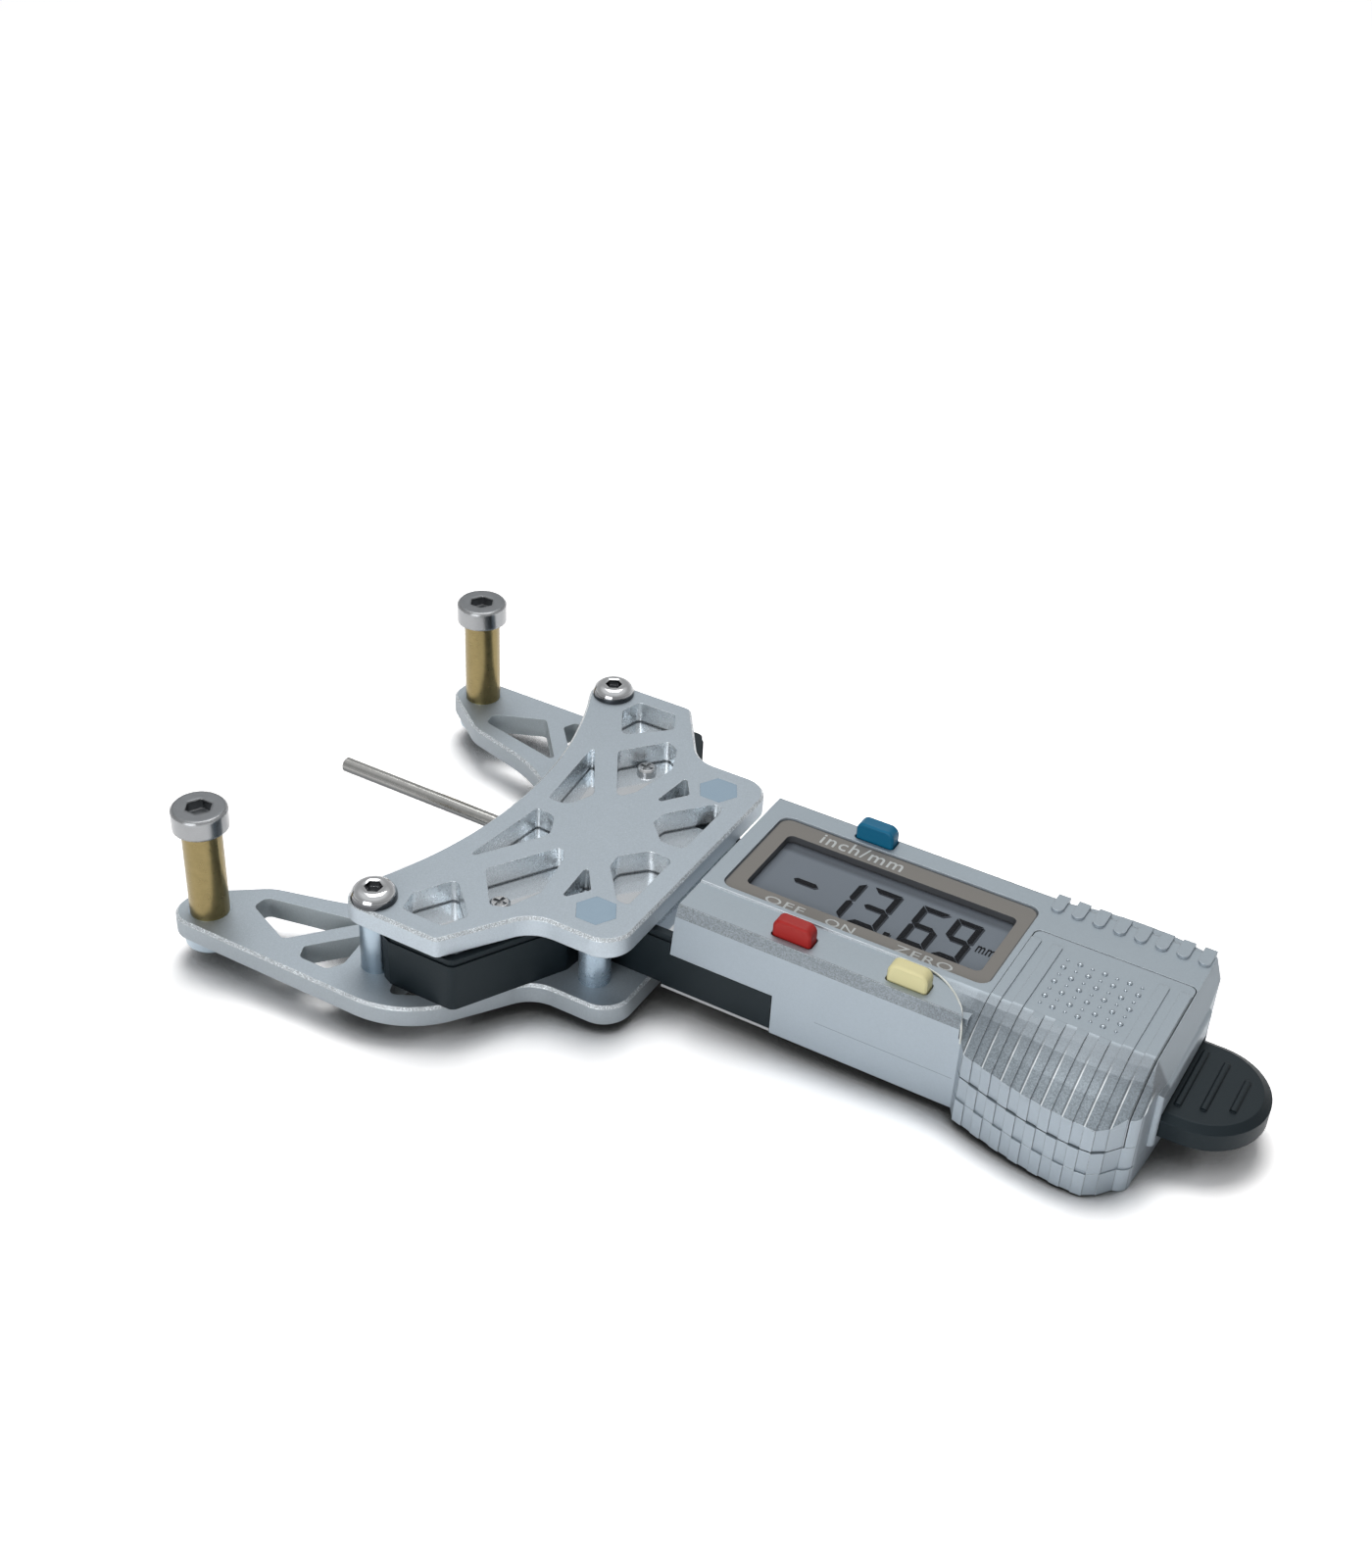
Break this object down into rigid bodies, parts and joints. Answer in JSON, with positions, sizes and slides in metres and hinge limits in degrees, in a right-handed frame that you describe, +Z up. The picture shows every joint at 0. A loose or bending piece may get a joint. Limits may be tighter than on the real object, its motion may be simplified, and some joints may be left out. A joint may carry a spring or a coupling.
{
  "type": "belt tension gauge",
  "caption": "Handheld digital gauge that hooks a drive belt over two posts and pushes a sliding probe against it, with a readout, keys and thumb tab",
  "frame": {"origin": "bottom centre of the whole gauge, midway between the posts across it", "axes": "+X from the probe to the thumb tab, +Z up out of the display, +Y to the key beside the display's far edge"},
  "size_m": [0.1302, 0.0676, 0.0202],
  "materials": {
    "anodised_aluminium": "bead-blasted and clear anodised, with bright milled arrises",
    "zinc_steel": "blue-white zinc plate",
    "brass": "turned, slightly dulled",
    "steel": "turned, satin",
    "polished_steel": "polished",
    "black_plastic": "fine satin moulding",
    "polished_cover": "mirror-polished sheet",
    "scale_strip": "printed strip",
    "silver_housing": "silver paint with fine flake over plastic",
    "grey_bezel": "printed warm grey",
    "clear_lens": "clear",
    "display_glass": "reflective display, blue-grey",
    "elastomer": "matt",
    "board": "green solder mask",
    "blue_key": "satin",
    "red_key": "satin",
    "yellow_key": "satin",
    "cell_can": "nickel-plated",
    "back_foil": "light grey sheet"
  },
  "bodies": {
    "gauge_frame": {"lower_plate": "anodised_aluminium", "top_plate": "anodised_aluminium", "post_inserts": "zinc_steel", "post_sleeves": "brass", "post_screws": "steel", "front_standoffs": "zinc_steel", "front_screws": "polished_steel", "rear_standoffs": "zinc_steel", "rear_screws": "zinc_steel", "base_body": "black_plastic", "base_lid": "black_plastic", "base_cover": "polished_cover", "cover_screws": "steel", "probe_bush": "brass", "display_housing": "silver_housing", "window_bezel": "grey_bezel", "window_lens": "clear_lens", "display_panel": "display_glass", "elastomer_strips": "elastomer", "circuit_board": "board", "key_pads": "elastomer", "battery_tray": "black_plastic", "battery_cell": "cell_can", "battery_contacts": "cell_can", "back_plate": "back_foil", "back_screws": "steel"},
    "slider": {"probe_rod": "steel", "slide_bar": "steel", "scale_strip": "scale_strip", "thumb_tab": "black_plastic", "tab_pin": "steel"},
    "unit_key": {"unit_button": "blue_key"},
    "power_key": {"power_button": "red_key"},
    "zero_key": {"zero_button": "yellow_key"},
    "door": {"battery_door": "silver_housing"}
  },
  "joints": [
    {"name": "probe_slide", "type": "slide", "parent": "gauge_frame", "child": "slider", "axis": [1, 0, 0], "range_m": [-0.0006, 0.0284]},
    {"name": "unit_press", "type": "slide", "parent": "gauge_frame", "child": "unit_key", "axis": [0, 0, -1], "range_m": [0, 0.0008], "stiffness_N_per_m": 600, "springref_m": -0.0008},
    {"name": "power_press", "type": "slide", "parent": "gauge_frame", "child": "power_key", "axis": [0, 0, -1], "range_m": [0, 0.0008], "stiffness_N_per_m": 600, "springref_m": -0.0008},
    {"name": "zero_press", "type": "slide", "parent": "gauge_frame", "child": "zero_key", "axis": [0, 0, -1], "range_m": [0, 0.0008], "stiffness_N_per_m": 600, "springref_m": -0.0008},
    {"name": "door_slide", "type": "slide", "parent": "gauge_frame", "child": "door", "axis": [0, -1, 0], "range_m": [0, 0.012]}
  ]
}
